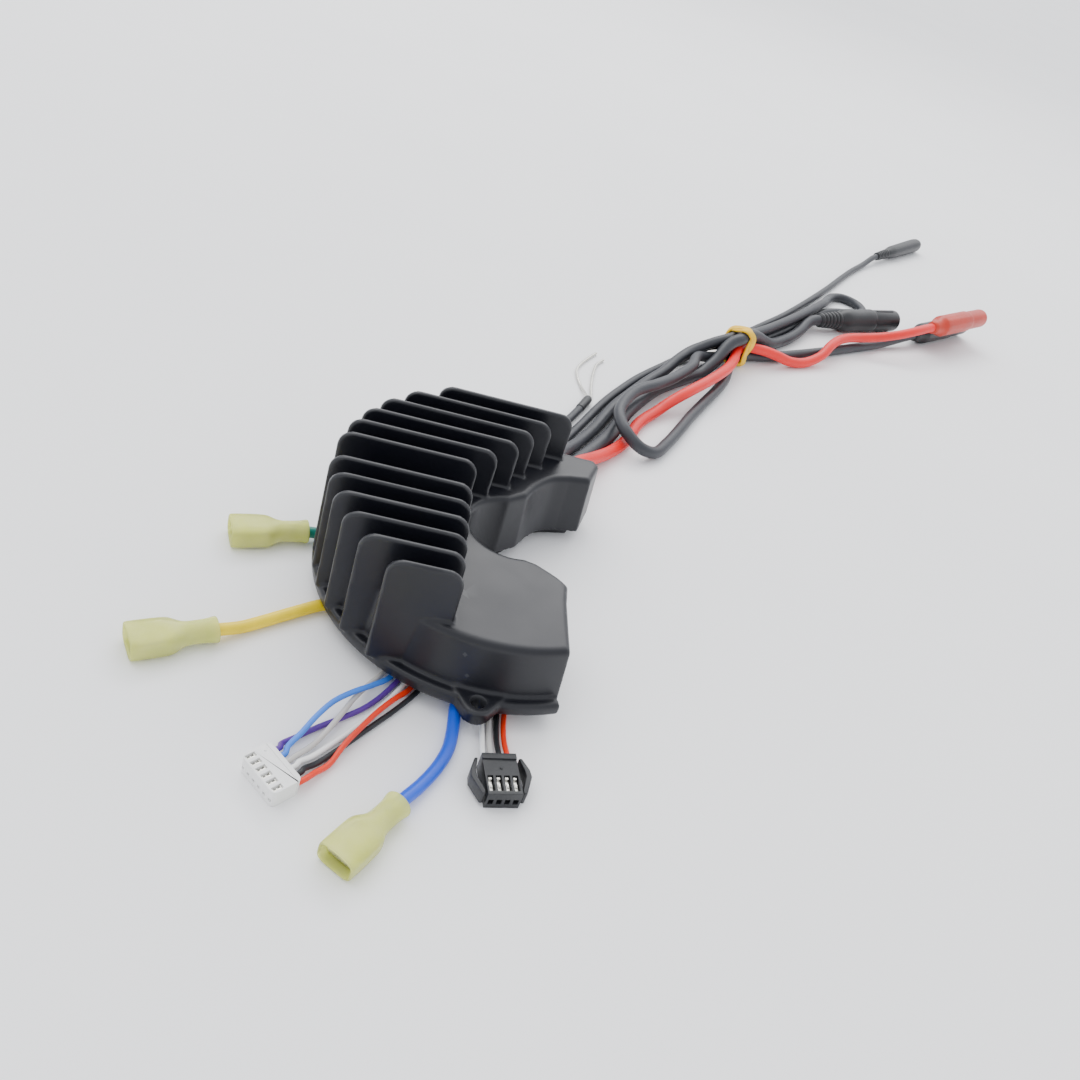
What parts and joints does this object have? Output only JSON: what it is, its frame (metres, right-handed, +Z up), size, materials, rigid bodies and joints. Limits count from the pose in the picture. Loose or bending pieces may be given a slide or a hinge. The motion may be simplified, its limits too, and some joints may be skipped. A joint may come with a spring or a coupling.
{
  "type": "electronic speed controller",
  "caption": "Crescent-shaped motor speed controller: finned die-cast heat sink over a circuit board, phase leads in insulated terminals, signal plugs and a banded bundle of leads.",
  "frame": {"origin": "centre of the box round the housing, cover, ears and cable grommet, on the plane the bottom cover rests on; the leads and their plugs are left out of that box", "axes": "+Z up, away from the bottom cover and along the fins' height; X along the fins, with +X towards the open side of the crescent; +Y across the fins, towards the cable outlet"},
  "size_m": [0.3461, 0.5136, 0.0375],
  "materials": {
    "casting": "satin black coating on a die casting",
    "plastic": "matte black moulded plastic",
    "rubber": "matte black rubber",
    "steel": "tin-plated or zinc-plated metal",
    "copper": "bare copper alloy",
    "board": "green solder-masked fibreglass",
    "chip": "matte black moulding compound",
    "can": "drawn aluminium can",
    "pad": "matte grey silicone pad",
    "sleeve": "cloudy pale yellow-green nylon",
    "white": "off-white nylon",
    "band": "matte yellow rubber",
    "yellow": "satin yellow insulation",
    "green": "satin blue-green insulation",
    "blue": "satin blue insulation",
    "purple": "satin purple insulation",
    "sky": "satin light blue insulation",
    "grey": "satin pale grey insulation",
    "orange": "satin orange-red plastic",
    "red": "satin red silicone insulation",
    "sheath": "satin dark grey sheath",
    "black": "satin black plastic"
  },
  "bodies": {
    "controller": {"heatsink_housing": "casting", "bottom_cover": "plastic", "cover_screw_1": "steel", "cover_screw_2": "steel", "cover_screw_3": "steel", "cover_screw_4": "steel", "circuit_board": "board", "power_transistor_1": "chip", "power_transistor_2": "chip", "power_transistor_3": "chip", "power_transistor_4": "chip", "power_transistor_5": "chip", "power_transistor_6": "chip", "thermal_pad": "pad", "bulk_capacitor_1": "can", "bulk_capacitor_2": "can", "bulk_capacitor_3": "can", "microcontroller": "chip", "gate_driver": "chip", "current_shunt": "copper", "cable_grommet": "rubber", "phase_wire_green": "green", "phase_sleeve_green": "sleeve", "phase_terminal_green": "steel", "phase_wire_yellow": "yellow", "phase_sleeve_yellow": "sleeve", "phase_terminal_yellow": "steel", "phase_wire_blue": "blue", "phase_sleeve_blue": "sleeve", "phase_terminal_blue": "steel", "sensor_plug_white": "white", "sensor_wire_purple": "purple", "sensor_wire_sky": "sky", "sensor_wire_grey": "grey", "sensor_wire_white": "white", "sensor_wire_black": "black", "sensor_wire_orange": "orange", "signal_plug_black": "black", "signal_wire_white": "white", "signal_wire_grey": "grey", "signal_wire_black": "black", "signal_wire_orange": "orange", "battery_lead_black": "sheath", "battery_lead_red": "red", "display_cable": "sheath", "speed_sensor_cable": "sheath", "light_cable": "sheath", "light_conductor_1": "steel", "light_conductor_2": "steel", "battery_bullet_red": "orange", "battery_bullet_black": "black", "display_connector": "black", "speed_sensor_plug": "black", "rubber_band": "band"},
    "latch_left": {"latch_arm_left": "black"},
    "latch_right": {"latch_arm_right": "black"}
  },
  "joints": [
    {"name": "latch_left_squeeze", "type": "hinge", "parent": "controller", "child": "latch_left", "pos_m": [0.01174, -0.07079, 0.0028], "axis": [0, 0, 1], "range_deg": [-4, 0], "stiffness_Nm_per_rad": 0.05},
    {"name": "latch_right_squeeze", "type": "hinge", "parent": "controller", "child": "latch_right", "pos_m": [0.02134, -0.06884, 0.0028], "axis": [0, 0, 1], "range_deg": [0, 4], "stiffness_Nm_per_rad": 0.05}
  ]
}
